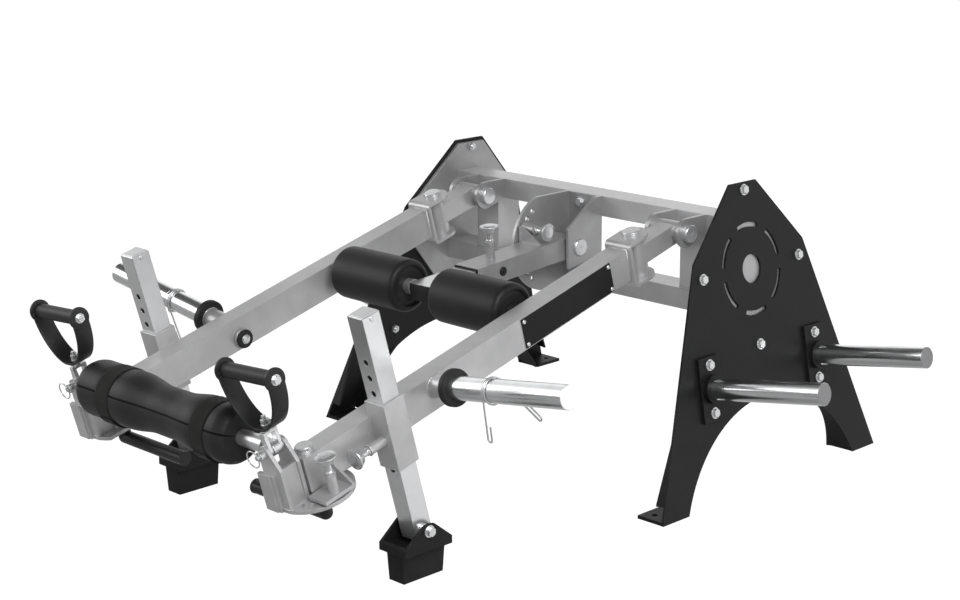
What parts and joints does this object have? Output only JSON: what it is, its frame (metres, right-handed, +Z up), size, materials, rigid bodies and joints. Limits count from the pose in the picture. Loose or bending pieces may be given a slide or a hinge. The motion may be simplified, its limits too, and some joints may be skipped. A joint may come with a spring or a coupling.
{
  "type": "deadlift machine",
  "caption": "Plate-loaded deadlift machine: two hinged lever arms with weight horns, a padded front bar, height posts and a centre arm with foam rollers on a splayed frame.",
  "frame": {"origin": "centre of the bounding box on the floor plane", "axes": "+X to the machine's right, +Y to the rear frame, +Z up"},
  "size_m": [1.6734, 1.7496, 0.6978],
  "materials": {
    "frame_grey": "satin metallic grey paint",
    "plate_black": "satin charcoal-black paint",
    "chrome": "bright chrome",
    "bright_steel": "bright satin steel",
    "zinc": "zinc-plated",
    "black_rubber": "matt",
    "grip_black": "satin black paint",
    "foam": "matt dark grey covered foam",
    "strap": "woven brown-black strap"
  },
  "bodies": {
    "frame": {"cross_beams": "frame_grey", "uprights": "frame_grey", "end_plates": "frame_grey", "left_side_plate": "plate_black", "right_side_plate": "plate_black", "frame_bolts": "zinc", "horn_brackets": "plate_black", "storage_horns": "chrome", "lift_clevises": "frame_grey", "pivot_pins": "zinc", "centre_bracket": "frame_grey"},
    "left_link": {"left_link": "frame_grey"},
    "left_arm": {"left_arm": "frame_grey", "left_arm_pins": "zinc", "left_name_panel": "plate_black", "left_panel_screws": "zinc", "left_lever_horn": "chrome", "left_arm_rubbers": "black_rubber"},
    "left_head": {"left_head": "frame_grey", "left_grip_bar": "grip_black", "pad_bar": "frame_grey", "pad_foam": "foam", "pad_straps": "strap"},
    "left_post": {"left_post": "bright_steel"},
    "left_post_pin": {"left_post_pin": "zinc"},
    "left_head_pin": {"left_head_pin": "zinc"},
    "left_lock_pin": {"left_lock_pin": "zinc"},
    "left_shackle": {"left_shackle": "bright_steel"},
    "left_handle_grip": {"left_handle_grip": "black_rubber"},
    "left_spring_clip": {"left_spring_clip": "zinc"},
    "left_boot": {"left_boot": "plate_black", "left_boot_bolt": "zinc"},
    "left_handle": {"left_handle_strap": "plate_black", "left_handle_bolts": "zinc"},
    "right_link": {"right_link": "frame_grey"},
    "right_arm": {"right_arm": "frame_grey", "right_arm_pins": "zinc", "right_name_panel": "plate_black", "right_panel_screws": "zinc", "right_lever_horn": "chrome", "right_arm_rubbers": "black_rubber"},
    "right_head": {"right_head": "frame_grey", "right_grip_bar": "grip_black"},
    "right_post": {"right_post": "bright_steel"},
    "right_post_pin": {"right_post_pin": "zinc"},
    "right_head_pin": {"right_head_pin": "zinc"},
    "right_lock_pin": {"right_lock_pin": "zinc"},
    "right_shackle": {"right_shackle": "bright_steel"},
    "right_handle_grip": {"right_handle_grip": "black_rubber"},
    "right_spring_clip": {"right_spring_clip": "zinc"},
    "right_boot": {"right_boot": "plate_black", "right_boot_bolt": "zinc"},
    "right_handle": {"right_handle_strap": "plate_black", "right_handle_bolts": "zinc"},
    "centre_arm": {"centre_arm": "frame_grey"},
    "index_knob": {"index_knob": "zinc"},
    "centre_pin": {"centre_pin": "zinc"},
    "inner_tube": {"inner_tube": "chrome"},
    "left_roller": {"left_roller": "foam"},
    "right_roller": {"right_roller": "foam"}
  },
  "joints": [
    {"name": "left_lift", "type": "hinge", "parent": "frame", "child": "left_link", "pos_m": [-0.326, 0.36195, 0.583], "axis": [-1, 0, 0], "range_deg": [0, 35]},
    {"name": "left_swing", "type": "hinge", "parent": "left_link", "child": "left_arm", "pos_m": [-0.326, 0.23572, 0.54799], "axis": [0, -0.2672, 0.9636], "range_deg": [-3, 3]},
    {"name": "left_swivel", "type": "hinge", "parent": "left_arm", "child": "left_head", "pos_m": [-0.326, -0.73562, 0.27862], "axis": [0, -0.2672, 0.9636], "range_deg": [-3, 3]},
    {"name": "left_post_slide", "type": "slide", "parent": "left_arm", "child": "left_post", "axis": [0, -0.2672, 0.9636], "range_m": [-0.175, 0.07]},
    {"name": "left_boot_tilt", "type": "hinge", "parent": "left_post", "child": "left_boot", "pos_m": [-0.38, -0.50303, 0.10599], "axis": [1, 0, 0], "range_deg": [-20, 20]},
    {"name": "left_post_pin_pull", "type": "slide", "parent": "left_arm", "child": "left_post_pin", "axis": [0, -0.9636, -0.2672], "range_m": [0, 0.01], "stiffness_N_per_m": 1500},
    {"name": "left_head_pin_pull", "type": "slide", "parent": "left_arm", "child": "left_head_pin", "axis": [0, -0.2672, 0.9636], "range_m": [0, 0.01], "stiffness_N_per_m": 1500},
    {"name": "left_lock_pin_pull", "type": "slide", "parent": "left_head", "child": "left_lock_pin", "axis": [0, -0.9636, -0.2672], "range_m": [0, 0.06]},
    {"name": "left_handle_fold", "type": "hinge", "parent": "left_head", "child": "left_shackle", "pos_m": [-0.344, -0.80706, 0.33041], "axis": [0, -0.9636, -0.2672], "range_deg": [-12, 80]},
    {"name": "left_handle_swivel", "type": "hinge", "parent": "left_shackle", "child": "left_handle", "pos_m": [-0.34792, -0.82038, 0.37844], "axis": [-0.0785, -0.2664, 0.9607], "range_deg": [-75, 75]},
    {"name": "left_grip_spin", "type": "hinge", "parent": "left_handle", "child": "left_handle_grip", "pos_m": [-0.35663, -0.84995, 0.48507], "axis": [0.9969, -0.021, 0.0756], "continuous": true},
    {"name": "left_clip_slide", "type": "slide", "parent": "left_arm", "child": "left_spring_clip", "axis": [-0.9863, -0.0441, 0.159], "range_m": [-0.09, 0.15]},
    {"name": "right_lift", "type": "hinge", "parent": "frame", "child": "right_link", "pos_m": [0.326, 0.36195, 0.583], "axis": [-1, 0, 0], "range_deg": [0, 35]},
    {"name": "right_swing", "type": "hinge", "parent": "right_link", "child": "right_arm", "pos_m": [0.326, 0.23572, 0.54799], "axis": [0, -0.2672, 0.9636], "range_deg": [-3, 3]},
    {"name": "right_swivel", "type": "hinge", "parent": "right_arm", "child": "right_head", "pos_m": [0.326, -0.73562, 0.27862], "axis": [0, -0.2672, 0.9636], "range_deg": [-3, 3]},
    {"name": "right_post_slide", "type": "slide", "parent": "right_arm", "child": "right_post", "axis": [0, -0.2672, 0.9636], "range_m": [-0.175, 0.07]},
    {"name": "right_boot_tilt", "type": "hinge", "parent": "right_post", "child": "right_boot", "pos_m": [0.38, -0.50303, 0.10599], "axis": [1, 0, 0], "range_deg": [-20, 20]},
    {"name": "right_post_pin_pull", "type": "slide", "parent": "right_arm", "child": "right_post_pin", "axis": [0, -0.9636, -0.2672], "range_m": [0, 0.01], "stiffness_N_per_m": 1500},
    {"name": "right_head_pin_pull", "type": "slide", "parent": "right_arm", "child": "right_head_pin", "axis": [0, -0.2672, 0.9636], "range_m": [0, 0.01], "stiffness_N_per_m": 1500},
    {"name": "right_lock_pin_pull", "type": "slide", "parent": "right_head", "child": "right_lock_pin", "axis": [0, -0.9636, -0.2672], "range_m": [0, 0.06]},
    {"name": "right_handle_fold", "type": "hinge", "parent": "right_head", "child": "right_shackle", "pos_m": [0.308, -0.80706, 0.33041], "axis": [0, -0.9636, -0.2672], "range_deg": [-70, 15]},
    {"name": "right_handle_swivel", "type": "hinge", "parent": "right_shackle", "child": "right_handle", "pos_m": [0.30408, -0.82038, 0.37844], "axis": [-0.0785, -0.2664, 0.9607], "range_deg": [-75, 75]},
    {"name": "right_grip_spin", "type": "hinge", "parent": "right_handle", "child": "right_handle_grip", "pos_m": [0.29537, -0.84995, 0.48507], "axis": [0.9969, -0.021, 0.0756], "continuous": true},
    {"name": "right_clip_slide", "type": "slide", "parent": "right_arm", "child": "right_spring_clip", "axis": [0.9863, -0.0441, 0.159], "range_m": [-0.09, 0.15]},
    {"name": "centre_tilt", "type": "hinge", "parent": "frame", "child": "centre_arm", "pos_m": [0, 0.35095, 0.502], "axis": [-1, 0, 0], "range_deg": [-70, 28]},
    {"name": "index_pull", "type": "slide", "parent": "centre_arm", "child": "index_knob", "axis": [1, 0, 0], "range_m": [0, 0.01], "stiffness_N_per_m": 1500},
    {"name": "centre_pin_pull", "type": "slide", "parent": "centre_arm", "child": "centre_pin", "axis": [0, -0.0785, 0.9969], "range_m": [0, 0.01], "stiffness_N_per_m": 1500},
    {"name": "inner_slide", "type": "slide", "parent": "centre_arm", "child": "inner_tube", "axis": [0, -0.9969, -0.0785], "range_m": [-0.06, 0.09]},
    {"name": "left_roller_spin", "type": "hinge", "parent": "inner_tube", "child": "left_roller", "pos_m": [0, -0.10364, 0.46622], "axis": [1, 0, 0], "continuous": true},
    {"name": "right_roller_spin", "type": "hinge", "parent": "inner_tube", "child": "right_roller", "pos_m": [0, -0.10364, 0.46622], "axis": [1, 0, 0], "continuous": true}
  ],
  "couplings": [
    {"joint": "right_lift", "follows": "left_lift", "ratio": 1},
    {"joint": "right_swing", "follows": "left_swing", "ratio": 1},
    {"joint": "left_swivel", "follows": "left_swing", "ratio": -1},
    {"joint": "right_swivel", "follows": "left_swing", "ratio": -1}
  ]
}
